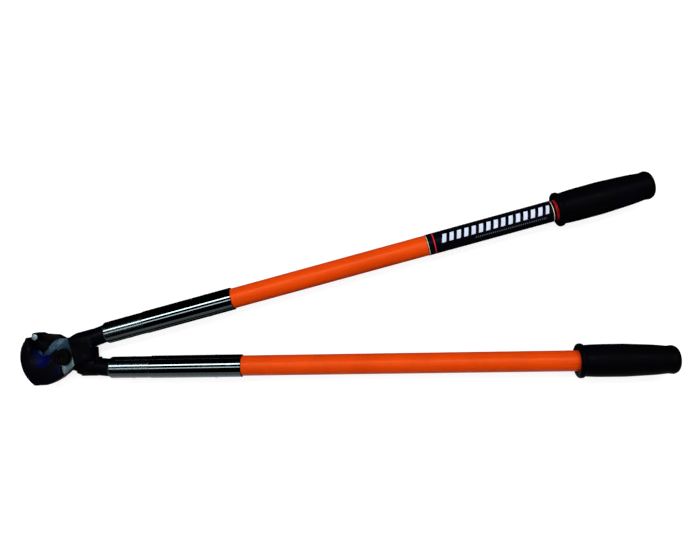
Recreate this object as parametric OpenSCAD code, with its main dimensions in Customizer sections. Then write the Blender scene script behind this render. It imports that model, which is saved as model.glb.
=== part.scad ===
// Long-handled shear cutter for wire rope, cable and hose.
// Two half-lapped levers cross on one pivot bolt. The hooked front jaw rides on the
// upper handle and the straight rear blade on the lower handle.
// X runs along the tool towards the grips, Y across it, Z up through the pivot.

/* [Overall] */
// Angle between the two handles as the tool lies at rest, in degrees
handle_angle = 14; // [12:0.5:22]
// Distance of each handle's axis from the pivot
axis_offset = 15; // [14:0.25:18]
// Running clearance between the sliding faces of the two halves
slide_gap = 0.1; // [0.06:0.02:0.3]
// Radial clearance where one round piece sits in another
fit = 0.05; // [0.02:0.01:0.1]
// How far the handles close past the rest angle before the stop, in degrees
close_angle = 6; // [2:0.5:8]

/* [Jaws] */
// Thickness of each jaw plate
jaw_t = 11; // [8:0.5:14]
// Radius of the round hub of each jaw
hub_r = 22.8; // [20:0.2:25]
// Distance from the pivot to the straight shoulder where jaw meets lever
shoulder_s = 11; // [10:0.5:14]
// Distance from the pivot back to the bottom of the notch
notch_reach = 30; // [29:0.2:32]
// Height of the bottom of the notch over the pivot
notch_rise = 11.6; // [10.6:0.2:13]
// Length of the notch's outer arm
notch_arm = 12.6; // [11:0.2:14]
// Angle of the notch's outer arm, in degrees
notch_arm_angle = 124; // [120:1:128]
// Radius of the hook's convex cutting edge
cut_r = 19.8; // [19:0.2:20.4]
// Radius of the hook's round back
hook_back_r = 44.4; // [42:0.2:47]
// Length of the hook's tip beyond the notch
hook_tip_l = 13; // [12:0.2:14]
// Width of the ground bevel on the hook's cutting edge
hook_bevel_w = 12; // [9:0.5:13]
// Width of the ground bevel on the blade's straight edge
blade_bevel_w = 7.6; // [5:0.2:9]
// Height of the narrow land left under each bevel
edge_land = 1.2; // [0.6:0.1:2]
// Radius of the ground hollow in the hook's face
hollow_r = 14; // [12:0.5:15]
// Depth of the ground hollow
hollow_depth = 4.2; // [2:0.2:6]
// Depth of the bare ground facet on the hook's hub
facet_depth = 0.4; // [0.2:0.1:0.8]
// Length of the blade from the pivot to its nose
blade_reach = 49; // [46:0.5:51]

/* [Jaw tails and screws] */
// Length of the tail that each jaw sends into its lever
tail_l = 22; // [20:0.5:23]
// Width of that tail
tail_w = 20; // [14:0.5:21]
// Thickness of that tail
tail_t = 5.2; // [4:0.2:7]
// Thread diameter of the countersunk jaw screws
screw_d = 5; // [4:0.5:5]
// Head diameter of the jaw screws
screw_head_d = 9.4; // [8:0.2:9.6]
// Distance between the two screws of a jaw
screw_pitch = 10; // [9.8:0.1:10.4]
// Height of the tapered screw heads
screw_head_h = 2.6; // [2:0.2:3.6]

/* [Stop pin] */
// Diameter of the polished stop pin in the blade
stop_pin_d = 7.8; // [6:0.2:8.4]
// Wall left between the stop pin and the back of the blade
stop_pin_wall = 1.1; // [1:0.1:2]
// Distance along the hook's tip at which it meets the stop pin
stop_pin_along = 7; // [6:0.2:7.6]
// Height of the stop pin over the sliding face
stop_pin_rise = 9.4; // [6:0.2:10.4]

/* [Lever heads] */
// Thickness of the half of a lever head on one side of the sliding face
head_half_t = 11.5; // [11.5:0.1:13]
// Distance from the pivot to the crotch edge of the lever head
crotch_s = 38.6; // [38:0.2:42]
// Depth of the slanting cut across the inner corner of the crotch edge
crotch_cut = 3; // [1:0.5:4]
// Length of the bevel that thins the head towards its crotch edge
crotch_bevel_l = 5; // [2:0.5:6]
// Depth of that bevel
crotch_bevel_h = 8; // [3:0.5:9]
// Depth of the head on the inner side of the pivot, at the shoulder
inner_w = 13; // [12.5:0.1:14]
// Depth of the head on the inner side of the pivot, at the crotch
crotch_w = 10; // [9:0.2:12]
// Reach of the head's rounded back beyond the handle's axis
back_reach = 10; // [9:0.2:11]
// Radius of the clearance for the other jaw's hub and back
hub_clear_r = 31; // [30:0.5:33]
// Diameter of the lever's round neck
neck_d = 22; // [20:0.5:22]
// Distance from the pivot to the end of the neck
neck_end_s = 53.4; // [51:0.2:56]
// Length of that shank
shank_l = 92; // [60:1:110]

/* [Steel sockets] */
// Length of the tapered nose of the socket
nose_l = 3.6; // [2:0.2:6]
// Diameter of the nose at its small end
nose_d = 22; // [21.4:0.2:23]
// Outer diameter of the socket
socket_d = 26.8; // [26:0.2:28]
// Distance from the pivot to the step between socket and ferrule
step_s = 107; // [98:1:125]
// Outer diameter of the ferrule
ferrule_d = 27.9; // [27.4:0.1:30]
// Distance from the pivot to the ferrule's open end
ferrule_end_s = 220.5; // [200:0.5:240]
// Depth that the coloured tube enters the ferrule
tube_entry = 12; // [6:1:20]
// Size of the chamfer on the ferrule's rims
rim_chamfer = 0.5; // [0.2:0.1:0.8]

/* [Handle tubes] */
// Outer diameter of the inner steel tube
core_d = 22; // [21:0.1:22.4]
// Wall of the inner steel tube
core_wall = 2; // [1.6:0.1:2.6]
// Outer diameter of the coloured tube
tube_d = 25; // [24.6:0.1:25.8]
// Distance from the pivot to the far end of the tubes
tube_end_s = 731; // [700:1:760]
// Thickness of the wrap on the upper tube
wrap_t = 0.35; // [0.2:0.05:0.6]
// Length of the wrap
wrap_l = 156.5; // [120:0.5:180]
// Bare tube left between the wrap and the grip
wrap_gap = 1.6; // [1:0.2:4]

/* [Grips] */
// Length of the grip, from its flange to its domed end
grip_l = 116.5; // [100:0.1:140]
// Diameter of the rounded flange at the grip's mouth
flange_d = 41.6; // [41:0.2:46]
// Diameter of the grip's barrel
grip_d = 39.2; // [36:0.2:40.6]
// Diameter of the grip before its end bead
grip_end_d = 33; // [31:0.2:34]
// Diameter of the bead at the grip's end
bead_d = 34.4; // [33:0.2:36]
// Thickness of rubber over the end of the tube
grip_cap_t = 8.6; // [5:0.2:12]
// Length of the end plug in the tube
plug_l = 12; // [8:1:20]
// Thickness of the end plug's rim
plug_rim = 2; // [1:0.5:3]

/* [Pivot] */
// Diameter of the pivot bolt
bolt_d = 12; // [10:0.5:13]
// Diameter of the pivot bolt's round head
bolt_head_d = 19; // [17:0.5:20]
// Height of the pivot bolt's head
bolt_head_h = 5; // [4:0.5:6]
// Outer diameter of the bronze bush
bush_d = 16; // [15:0.5:18]
// Diameter of the front washer
front_washer_d = 20.8; // [20.6:0.2:24]
// Thickness of the front washer
front_washer_t = 1.2; // [0.8:0.1:2]
// Diameter of the rear washer
rear_washer_d = 21.6; // [20.6:0.2:21.8]
// Thickness of the rear washer
rear_washer_t = 1.5; // [1:0.1:2.5]
// Size of the nut across its flats
nut_af = 19; // [17:0.5:21]
// Size across flats of the socket in the bolt's head
bolt_key_af = 8; // [6:0.5:8]
// Depth of that socket
bolt_key_depth = 3; // [2:0.5:3.5]

/* [Cross pins] */
// Diameter of the pins that hold socket, tube and lever together
cross_pin_d = 5; // [3:0.5:6]
// Distance from the pivot to the pin through the shank
shank_pin_s = 84; // [72:1:92]
// Distance from the pivot to the pin through the ferrule
ferrule_pin_s = 188; // [165:1:195]
// How far each pin's ends sit below the surface
pin_recess = 0.3; // [0.2:0.1:0.6]

/* [Hidden] */
$fn = 96;

half_angle = handle_angle / 2;
mid_z = flange_d / 2;              // the grips' flanges and the nut touch the table
half_gap = slide_gap / 2;
jaw_top = jaw_t + half_gap;
tail_top = tail_t + half_gap;
head_top = head_half_t + half_gap;
stop_swing = close_angle + 0.6;    // a little play is left at the stop
stop_play = 0.1;
clear = 0.7;                       // room round the swinging corners
overrun = 1;                       // how far a cutting shape runs past what it cuts

outer_n = axis_offset + back_reach;
tail_n = -inner_w + 5;
shoulder_n = outer_n - 3.7;        // where the head's back meets its jaw
root_n = outer_n - head_top;       // axis of the head's rounded back
notch = [-notch_reach, notch_rise];
notch_top = notch + notch_arm * [cos(notch_arm_angle), sin(notch_arm_angle)];
hook_back = [-10.2, 3.4];
heel_r = 3.6;
hook_heel = hook_back + (hook_back_r - heel_r) * [cos(218), sin(218)];
tip_way = [-0.13, 0.99];           // the hook's tip runs this way from the notch
hook_tip = notch_top + hook_tip_l * tip_way;
hub_meet = 70;                     // where the hub runs out into the shoulder
cut_centre = [-4, 4];
bevel_way = 25.5;                  // the ground bevel's direction, in degrees

edge_start = [-blade_reach + 1, -5.4];
blade_leave = 184;                 // where the blade's edge leaves the hub
edge_end = hub_r * [cos(blade_leave), sin(blade_leave)];

screw_s = shoulder_s + screw_head_d / 2 + 1.2;
screw_n = tail_n + tail_w / 2;
seat_z = jaw_top - facet_depth;
washer_z = seat_z + half_gap;
core_r = core_d / 2;
core_bore_r = core_r - core_wall;
shank_r = core_bore_r - fit;
nose_end_s = neck_end_s + nose_l;
tube_start_s = ferrule_end_s - tube_entry;
plug_end_s = tube_end_s + plug_rim;
grip_end_s = plug_end_s + grip_cap_t;
grip_s = grip_end_s - grip_l;
wrap_end_s = grip_s - wrap_gap;

// Points along an arc
function arc(c, r, a0, a1, steps) =
    [for (i = [0:steps]) let (a = a0 + (a1 - a0) * i / steps) c + r * [cos(a), sin(a)]];

// A point turned about the pivot
function turned(p, a) = [p[0] * cos(a) - p[1] * sin(a), p[0] * sin(a) + p[1] * cos(a)];

// A point of the other lever, seen from this one with the handles swung closed by an angle
function other(p, swing) = turned([p[0], -p[1]], swing - handle_angle);

// The stop pin's axis in the blade, where the closed hook's tip comes to rest against it
pin_at = other(notch_top + stop_pin_along * tip_way
    + (stop_pin_d / 2 + stop_play) * [tip_way[1], -tip_way[0]], stop_swing);
nose_corner_r = 3.6;
blade_back_n = pin_at[1] - stop_pin_d / 2 - stop_pin_wall;

// Everything along the upper or the lower handle is drawn along X and then put in place
module upper() translate([0, 0, mid_z]) rotate([0, 0, half_angle]) children();
module lower() translate([0, 0, mid_z]) rotate([180, 0, 0]) rotate([0, 0, half_angle]) children();

// A body turned about the handle's axis, from points [along, radius]
module turned_part(points)
    translate([0, axis_offset, 0]) rotate([90, 0, 90])
        rotate_extrude() polygon([for (p = points) [p[1], p[0]]]);

module sleeve(s0, s1, inner_r, outer_r)
    turned_part([[s0, inner_r], [s1, inner_r], [s1, outer_r], [s0, outer_r]]);

// A pin across the handle, centred on its axis
module cross_pin(s, d, l)
    translate([s, axis_offset - l / 2, 0]) rotate([-90, 0, 0]) cylinder(d = d, h = l);

// What a straight grind takes off: from a low land at a line up to the face behind it
module grind(p, way, width) {
    fall = atan((jaw_top - edge_land) / width);
    translate([p[0], p[1], edge_land]) rotate([0, 0, way]) rotate([-fall, 0, 0])
        translate([-3 * hub_r, -2 * hub_r, 0]) cube([6 * hub_r, 4 * hub_r, hub_r]);
}

module jaw_tail()
    translate([shoulder_s - overrun, tail_n, half_gap]) cube([tail_l + overrun, tail_w, tail_t]);

module jaw_bores() {
    translate([0, 0, -overrun]) cylinder(r = bush_d / 2 + fit, h = jaw_t + 3 * overrun);
    for (i = [0, 1]) translate([screw_s + i * screw_pitch, screw_n, -overrun])
        cylinder(d = screw_d + 2 * fit, h = jaw_t + 3 * overrun);
}

module hook_outline() polygon(concat(
    [[shoulder_s, -inner_w], [shoulder_s, shoulder_n]],
    [hub_r * [cos(hub_meet), sin(hub_meet)]],
    arc(cut_centre, cut_r, 76, 150, 14),
    [notch, notch_top],
    arc(hook_tip + [-1.2, -0.9], 1.2, 10, 120, 5),
    [hook_tip + [-3.4, -2.3], hook_tip + [-7.4, -6.2]],
    arc(hook_back, hook_back_r, 152, 218, 20),
    arc(hook_heel, heel_r, 218, 258, 5),
    [[-28.5, -28.2], [-20, -27.2], [-10, -24.5], [-1, -20.4], [5.5, -16.6]]));

// Hooked front jaw, with its ground bevel, hollow and bare hub facet
module hook_jaw() color([0.16, 0.17, 0.19]) upper() difference() {
    union() {
        translate([0, 0, half_gap]) linear_extrude(jaw_t) hook_outline();
        jaw_tail();
    }
    jaw_bores();
    intersection() {
        grind(cut_centre + cut_r * [-sin(bevel_way), cos(bevel_way)], bevel_way, hook_bevel_w);
        translate([notch[0] + 3, 0, 0]) cube([3 * hub_r, 2 * hub_r, 2 * jaw_t]);
    }
    ball_r = (pow(hollow_r, 2) + pow(hollow_depth, 2)) / (2 * hollow_depth);
    translate([notch[0] + 0.6, notch[1] - 2.9, jaw_top - hollow_depth + ball_r]) sphere(r = ball_r);
    translate([0, 0, seat_z]) linear_extrude(jaw_t) {
        circle(d = front_washer_d + 2 * clear);
        polygon([[0, 0], [-5, -10], [-5.7, -15], [-5.2, -19.5], [-3, -hub_r - 2 * clear],
            [hub_r, -hub_r - 2 * clear], [hub_r, hub_r + 2 * clear], [-6, hub_r + 2 * clear], [-6, 11]]);
    }
}

module blade_outline() polygon(concat(
    [[shoulder_s, -inner_w], [shoulder_s, shoulder_n - 2], [7.2, 18], [1, 18.6]],
    arc([0, 0], hub_r, 112, blade_leave, 16),
    [edge_start, edge_start + [-0.9, -4]],
    arc([-blade_reach + 6.2, blade_back_n + nose_corner_r], nose_corner_r, 190, 266, 5),
    [[pin_at[0] + 2, blade_back_n], [pin_at[0] + 7, blade_back_n + 2]],
    arc([-17.5, -17.3], 9.7, 268, 304, 6),
    arc([0, 0], hub_r, 255, 290, 8)));

// Straight rear blade, ground on its rear face
module blade_jaw() color([0.10, 0.105, 0.12]) lower() difference() {
    union() {
        translate([0, 0, half_gap]) linear_extrude(jaw_t) blade_outline();
        jaw_tail();
    }
    jaw_bores();
    translate([pin_at[0], pin_at[1], -overrun])
        cylinder(d = stop_pin_d + 2 * fit, h = jaw_t + 3 * overrun);
    edge_run = edge_end - edge_start;
    intersection() {
        grind(edge_start, atan2(edge_run[1], edge_run[0]), blade_bevel_w);
        translate([-2 * blade_reach, -hub_r, 0]) cube([2 * blade_reach - hub_r, 2 * hub_r, 2 * jaw_t]);
    }
}

module stop_pin() color([0.72, 0.75, 0.77]) lower()
    translate([pin_at[0], pin_at[1], -stop_pin_rise]) cylinder(d = stop_pin_d, h = stop_pin_rise + jaw_top);

// Countersunk screw, or with play the hole that it sits in
module jaw_screw(i, play) translate([screw_s + i * screw_pitch, screw_n, 0]) {
    translate([0, 0, 2 * half_gap - play]) cylinder(d = screw_d + 2 * play, h = head_half_t);
    translate([0, 0, head_top - screw_head_h])
        cylinder(d1 = screw_d + 2 * play, d2 = screw_head_d + 2 * play, h = screw_head_h + play / 4);
}

module jaw_screws() for (i = [0, 1]) intersection() {
    jaw_screw(i, 0);
    translate([0, -2 * hub_r, 0]) cube([3 * hub_r, 4 * hub_r, head_top]);
}

module upper_jaw_screws() color([0.09, 0.09, 0.10]) upper() jaw_screws();
module lower_jaw_screws() color([0.09, 0.09, 0.10]) lower() jaw_screws();

module head_outline() polygon([[shoulder_s, -inner_w], [crotch_s - crotch_cut, -crotch_w],
    [crotch_s, axis_offset - neck_d / 2 - 2.5], [crotch_s, outer_n], [shoulder_s + 8.5, outer_n],
    [shoulder_s, shoulder_n]]);

// Section of the head across the handle: flat faces and a round back
module back_section() {
    translate([root_n, 0]) circle(r = head_top);
    translate([-2 * hub_r, -head_top]) square([2 * hub_r + root_n, 2 * head_top]);
}

// What thins one face of the head towards its crotch edge, between the pivot side and the neck
module crotch_bevel() {
    bevel_s = crotch_s - crotch_bevel_l;
    translate([0, root_n - neck_d / 2, 0]) rotate([90, 0, 0]) linear_extrude(2 * hub_r)
        polygon([[bevel_s, head_top], [crotch_s, head_top - crotch_bevel_h],
            [crotch_s + overrun, head_top - crotch_bevel_h], [crotch_s + overrun, head_top + overrun],
            [bevel_s, head_top + overrun]]);
}

module head_plate() difference() {
    intersection() {
        translate([0, 0, -head_top]) linear_extrude(2 * head_top) head_outline();
        rotate([90, 0, 90]) linear_extrude(crotch_s) back_section();
    }
    crotch_bevel();
    mirror([0, 0, 1]) crotch_bevel();
}

// Round neck that leans from the head's back to the handle's axis
module neck() {
    run = [neck_end_s - crotch_s, axis_offset - root_n];
    reach = norm(run) + 2 * overrun;
    intersection() {
        translate([crotch_s, root_n, 0]) rotate([0, 0, atan2(run[1], run[0])]) rotate([0, 90, 0])
            translate([0, 0, -reach]) cylinder(d = neck_d, h = 2 * reach);
        translate([crotch_s, -hub_r, -neck_d]) cube([neck_end_s - crotch_s, 3 * hub_r, 2 * neck_d]);
    }
}

// Where the other lever's half swings: its head, up to the stop face
module swing_room() {
    near = other([shoulder_s, -inner_w], stop_swing);
    far = other([crotch_s, -crotch_w], stop_swing);
    circle(r = hub_clear_r);
    intersection() {
        circle(r = norm([crotch_s, crotch_w]) + clear);
        polygon([near - (far - near), far + (far - near), [2 * crotch_s, -2 * crotch_s],
            [-crotch_s, -2 * crotch_s]]);
    }
}

// Forged lever head, neck and shank, the same on both handles
module lever() difference() {
    union() {
        head_plate();
        neck();
        turned_part([[crotch_s, 0], [neck_end_s + shank_l, 0], [neck_end_s + shank_l, shank_r - clear],
            [neck_end_s + shank_l - clear, shank_r], [crotch_s, shank_r]]);
    }
    translate([0, 0, half_gap - 2 * head_top]) linear_extrude(2 * head_top) swing_room();
    translate([shoulder_s - overrun, tail_n - fit, half_gap - overrun])
        cube([tail_l + overrun + fit, tail_w + 2 * fit, tail_t + overrun + fit]);
    for (i = [0, 1]) jaw_screw(i, fit);
    cross_pin(shank_pin_s, cross_pin_d + 2 * fit, socket_d);
}

module upper_lever() color([0.05, 0.05, 0.055]) upper() lever();
module lower_lever() color([0.05, 0.05, 0.055]) lower() lever();

// Turned steel nose and socket over the shank and the inner tube
module socket() difference() {
    turned_part([[neck_end_s, shank_r + fit], [nose_end_s, shank_r + fit], [nose_end_s, core_r + fit],
        [step_s, core_r + fit], [step_s, socket_d / 2], [nose_end_s, socket_d / 2], [neck_end_s, nose_d / 2]]);
    cross_pin(shank_pin_s, cross_pin_d + 2 * fit, socket_d + overrun);
}

module upper_socket() color([0.55, 0.58, 0.62]) upper() socket();
module lower_socket() color([0.55, 0.58, 0.62]) lower() socket();

// Thicker rear half of the socket, open for the coloured tube
module ferrule() difference() {
    turned_part([[step_s, core_r + fit], [tube_start_s, core_r + fit], [tube_start_s, tube_d / 2 + fit],
        [ferrule_end_s, tube_d / 2 + fit], [ferrule_end_s, ferrule_d / 2 - rim_chamfer],
        [ferrule_end_s - rim_chamfer, ferrule_d / 2], [step_s + rim_chamfer, ferrule_d / 2],
        [step_s, ferrule_d / 2 - rim_chamfer]]);
    cross_pin(ferrule_pin_s, cross_pin_d + 2 * fit, ferrule_d + overrun);
}

module upper_ferrule() color([0.60, 0.63, 0.67]) upper() ferrule();
module lower_ferrule() color([0.60, 0.63, 0.67]) lower() ferrule();

module shank_pin() cross_pin(shank_pin_s, cross_pin_d, socket_d - 2 * pin_recess);
module ferrule_pin() cross_pin(ferrule_pin_s, cross_pin_d, ferrule_d - 2 * pin_recess);

module upper_shank_pin() color([0.30, 0.31, 0.33]) upper() shank_pin();
module lower_shank_pin() color([0.30, 0.31, 0.33]) lower() shank_pin();
module upper_ferrule_pin() color([0.30, 0.31, 0.33]) upper() ferrule_pin();
module lower_ferrule_pin() color([0.30, 0.31, 0.33]) lower() ferrule_pin();

// Inner steel tube, pinned to the shank and to the ferrule
module tube_core() difference() {
    sleeve(nose_end_s, tube_end_s, core_bore_r, core_r);
    for (s = [shank_pin_s, ferrule_pin_s]) cross_pin(s, cross_pin_d + 2 * fit, core_d + overrun);
}

module upper_tube_core() color([0.66, 0.68, 0.70]) upper() tube_core();
module lower_tube_core() color([0.66, 0.68, 0.70]) lower() tube_core();

module colour_tube() sleeve(tube_start_s, tube_end_s, core_r + fit, tube_d / 2);

module upper_tube() color([0.87, 0.28, 0.04]) upper() colour_tube();
module lower_tube() color([0.87, 0.28, 0.04]) lower() colour_tube();

module label_wrap() color([0.03, 0.03, 0.035]) upper()
    sleeve(wrap_end_s - wrap_l, wrap_end_s, tube_d / 2 + fit, tube_d / 2 + fit + wrap_t);

// Plug that closes the tubes under the grip
module end_plug() turned_part([[tube_end_s - plug_l, 0], [plug_end_s, 0], [plug_end_s, tube_d / 2],
    [tube_end_s, tube_d / 2], [tube_end_s, core_bore_r - fit], [tube_end_s - plug_l, core_bore_r - fit]]);

module upper_end_plug() color([0.08, 0.08, 0.08]) upper() end_plug();
module lower_end_plug() color([0.08, 0.08, 0.08]) lower() end_plug();

// Rubber grip: rounded flange round a sunk mouth, barrel that tapers, end bead and domed cap
module grip() {
    flange_r = flange_d / 2;
    barrel_r = grip_d / 2;
    dip_r = barrel_r - 0.9;
    low_r = grip_end_d / 2;
    bead_r = bead_d / 2;
    turned_part(concat(
        [[grip_s + 1.4, tube_d / 2 + fit], [grip_s + 0.8, tube_d / 2 + 2.6]],
        [for (a = [180:-18:90]) [grip_s + 3 + 3 * cos(a), flange_r - 3 + 3 * sin(a)]],
        [[grip_s + 3.8, flange_r]],
        [for (a = [0:30:90]) [grip_s + 3.8 + 3.4 * sin(a), dip_r + (flange_r - dip_r) * cos(a)]],
        [[grip_s + 20, barrel_r - 0.15], [grip_s + 32, barrel_r], [grip_s + 56, barrel_r],
            [grip_end_s - 48, barrel_r - 0.6], [grip_end_s - 27, barrel_r - 1.6],
            [grip_end_s - 12, low_r], [grip_end_s - 9.6, low_r + 0.1]],
        [for (a = [0:15:90]) [grip_end_s - 7.2 + 7.2 * sin(a), bead_r - 5.4 * (1 - cos(a))]],
        [[grip_end_s, 0], [plug_end_s, 0], [plug_end_s, tube_d / 2 + fit]]));
}

module upper_grip() color([0.05, 0.05, 0.06]) upper() grip();
module lower_grip() color([0.05, 0.05, 0.06]) lower() grip();

module pivot_axis() translate([0, 0, mid_z]) children();

module pivot_bolt() color([0.07, 0.07, 0.08]) pivot_axis() difference() {
    head_z = washer_z + front_washer_t;
    union() {
        translate([0, 0, -mid_z]) cylinder(d = bolt_d, h = mid_z + head_z + overrun);
        translate([0, 0, head_z]) cylinder(d = bolt_head_d, h = bolt_head_h - clear);
        translate([0, 0, head_z + bolt_head_h - clear])
            cylinder(d1 = bolt_head_d, d2 = bolt_head_d - 2 * clear, h = clear);
    }
    translate([0, 0, head_z + bolt_head_h - bolt_key_depth])
        cylinder(d = bolt_key_af / cos(30), h = bolt_head_h, $fn = 6);
}

module pivot_bush() color([0.70, 0.50, 0.22]) pivot_axis() difference() {
    translate([0, 0, -jaw_top]) cylinder(d = bush_d, h = jaw_top + seat_z);
    translate([0, 0, -jaw_top - overrun]) cylinder(r = bolt_d / 2 + fit, h = 3 * jaw_top);
}

module washer(z, d, t) pivot_axis() translate([0, 0, z]) difference() {
    cylinder(d = d, h = t);
    translate([0, 0, -overrun]) cylinder(r = bolt_d / 2 + fit, h = t + 2 * overrun);
}

module front_washer() color([0.14, 0.14, 0.16]) washer(washer_z, front_washer_d, front_washer_t);
module rear_washer() color([0.45, 0.46, 0.48])
    washer(-jaw_top - rear_washer_t, rear_washer_d, rear_washer_t);

module pivot_nut() color([0.12, 0.12, 0.13]) difference() {
    nut_h = mid_z - jaw_top - rear_washer_t;
    intersection() {
        cylinder(d = nut_af / cos(30), h = nut_h, $fn = 6);
        cylinder(d1 = nut_af, d2 = nut_af + 2 * nut_h, h = nut_h);
    }
    translate([0, 0, -overrun]) cylinder(r = bolt_d / 2 + fit, h = nut_h + 2 * overrun);
}

hook_jaw();
blade_jaw();
stop_pin();
upper_jaw_screws();
lower_jaw_screws();
pivot_bolt();
pivot_bush();
front_washer();
rear_washer();
pivot_nut();
upper_lever();
lower_lever();
upper_socket();
lower_socket();
upper_ferrule();
lower_ferrule();
upper_shank_pin();
lower_shank_pin();
upper_ferrule_pin();
lower_ferrule_pin();
upper_tube_core();
lower_tube_core();
upper_tube();
lower_tube();
label_wrap();
upper_end_plug();
lower_end_plug();
upper_grip();
lower_grip();
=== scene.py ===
import bpy
import bmesh
from math import atan2, cos, hypot, pi, radians, sin
from mathutils import Matrix, Vector


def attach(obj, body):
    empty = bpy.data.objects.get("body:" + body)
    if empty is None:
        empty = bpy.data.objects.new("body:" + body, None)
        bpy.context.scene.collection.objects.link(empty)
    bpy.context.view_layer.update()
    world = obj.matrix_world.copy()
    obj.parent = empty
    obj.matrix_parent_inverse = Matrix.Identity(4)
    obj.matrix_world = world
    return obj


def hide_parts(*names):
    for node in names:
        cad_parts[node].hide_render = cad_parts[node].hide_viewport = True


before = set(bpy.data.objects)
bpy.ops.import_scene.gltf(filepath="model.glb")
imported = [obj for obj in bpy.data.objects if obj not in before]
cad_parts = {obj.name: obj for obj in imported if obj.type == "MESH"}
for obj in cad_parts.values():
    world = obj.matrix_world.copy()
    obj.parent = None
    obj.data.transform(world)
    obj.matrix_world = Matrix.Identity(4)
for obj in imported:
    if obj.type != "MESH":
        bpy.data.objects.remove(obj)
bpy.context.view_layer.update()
print("frame loaded with", len(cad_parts), "nodes")

mm = 0.001

# Both handles are drawn along X from the pivot, then put in place
tool = {
    "halfAngle": 7.0,       # each handle's angle from the middle line, degrees
    "axisOffset": 15.0,     # handle axis beside the pivot
    "midZ": 20.8,           # height of the sliding faces over the table
}


def halfMatrix(side):
    lift = Matrix.Translation((0, 0, tool["midZ"] * mm))
    flip = Matrix.Rotation(pi if side == "lower" else 0, 4, "X")
    return lift @ flip @ Matrix.Rotation(radians(tool["halfAngle"]), 4, "Z")


def place(piece, side, replaced):
    piece.matrix_world = halfMatrix(side)
    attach(piece, side + "_half")
    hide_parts(*replaced)


# Where a construction piece of the upper half starts and stops along its handle, with its
# smallest and largest radius
def measured(node):
    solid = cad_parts[node]
    back = halfMatrix("upper").inverted() @ solid.matrix_world
    points = [back @ vertex.co for vertex in solid.data.vertices]
    along = [point.x / mm for point in points]
    radii = [hypot(point.y / mm - tool["axisOffset"], point.z / mm) for point in points]
    return min(along), max(along), min(radii), max(radii)


# A socket is either linked to another one or set to a number or colour
def feed(tree, socket, value):
    if isinstance(value, bpy.types.NodeSocket):
        tree.links.new(value, socket)
    else:
        socket.default_value = value


def addNode(tree, kind, settings=None, **inputs):
    node = tree.nodes.new(kind)
    for name, value in (settings or {}).items():
        setattr(node, name, value)
    for name, value in inputs.items():
        feed(tree, node.inputs[name], value)
    return node


def mathNode(tree, operation, first, second=0.0, clamp=False):
    node = addNode(tree, "ShaderNodeMath", {"operation": operation, "use_clamp": clamp})
    feed(tree, node.inputs[0], first)
    feed(tree, node.inputs[1], second)
    return node.outputs[0]


def vectorNode(tree, operation, first, second=None):
    node = addNode(tree, "ShaderNodeVectorMath", {"operation": operation})
    feed(tree, node.inputs[0], first)
    if second is not None:
        feed(tree, node.inputs[1], second)
    return node.outputs["Value" if operation in ("DISTANCE", "DOT_PRODUCT", "LENGTH") else "Vector"]


def mixColour(tree, factor, first, second):
    node = addNode(tree, "ShaderNodeMix", {"data_type": "RGBA"})
    for index, value in ((0, factor), (6, first), (7, second)):     # 6 and 7 take its two colours
        feed(tree, node.inputs[index], value)
    return node.outputs[2]


def remap(tree, value, fromLow, fromHigh, toLow=0.0, toHigh=1.0, smooth=True):
    node = addNode(tree, "ShaderNodeMapRange", {"interpolation_type": "SMOOTHSTEP" if smooth else "LINEAR"},
                   Value=value)
    limits = {"From Min": fromLow, "From Max": fromHigh, "To Min": toLow, "To Max": toHigh}
    for name, number in limits.items():
        node.inputs[name].default_value = number
    return node.outputs["Result"]


# A mask from 0 to 1 spread evenly between two numbers
def spread(tree, mask, ends):
    return remap(tree, mask, 0.0, 1.0, *ends, smooth=False)


def between(tree, value, low, high):
    over = mathNode(tree, "GREATER_THAN", value, low)
    return mathNode(tree, "MULTIPLY", over, mathNode(tree, "LESS_THAN", value, high))


def noise(tree, point, scale, detail, roughness=0.5, distortion=0.0):
    return addNode(tree, "ShaderNodeTexNoise", Vector=point, Scale=scale, Detail=detail,
                   Roughness=roughness, Distortion=distortion).outputs["Fac"]


# Texture scale for features of a size in mm
def scaleFor(tree, size):
    return mathNode(tree, "DIVIDE", 1 / mm, size)


def objectPoint(tree):
    return addNode(tree, "ShaderNodeTexCoord").outputs["Object"]


# Numbers make float inputs, all else makes vector inputs, and what comes out is always a float
def newGroup(name, inputs, outputs):
    group = bpy.data.node_groups.new(name, "ShaderNodeTree")
    for label, value in inputs.items():
        kind = "NodeSocketFloat" if isinstance(value, float) else "NodeSocketVector"
        socket = group.interface.new_socket(label, in_out="INPUT", socket_type=kind)
        if value is not None:
            socket.default_value = value
    for label in outputs:
        group.interface.new_socket(label, in_out="OUTPUT", socket_type="NodeSocketFloat")
    return group, addNode(group, "NodeGroupInput"), addNode(group, "NodeGroupOutput")


def useGroup(tree, group, **inputs):
    return addNode(tree, "ShaderNodeGroup", {"node_tree": group}, **inputs)


grainLook = {
    "detail": 3.0,
    "cloudDetail": 4.0,
    "cloudRough": 0.6,
    "cloud": (0.35, 0.68),      # noise levels where the clouds start and are full
}


# Fine uneven grain: cast, moulded or sprayed skin
def makeGrain():
    group, start, end = newGroup("fineGrain", {"Point": None, "Size": 0.4, "Blotch": 9.0},
                                 ("Height", "Cloud"))
    point = start.outputs["Point"]
    fine = noise(group, point, scaleFor(group, start.outputs["Size"]), grainLook["detail"])
    cloud = noise(group, point, scaleFor(group, start.outputs["Blotch"]), grainLook["cloudDetail"],
                  grainLook["cloudRough"])
    group.links.new(fine, end.inputs["Height"])
    group.links.new(remap(group, cloud, *grainLook["cloud"]), end.inputs["Cloud"])
    return group


wearLook = {
    "detail": 5.0,
    "rough": 0.65,
    "chips": (0.42, 0.62),
    "steepness": 14.0,          # how fast wear sets in past its start
}


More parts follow.
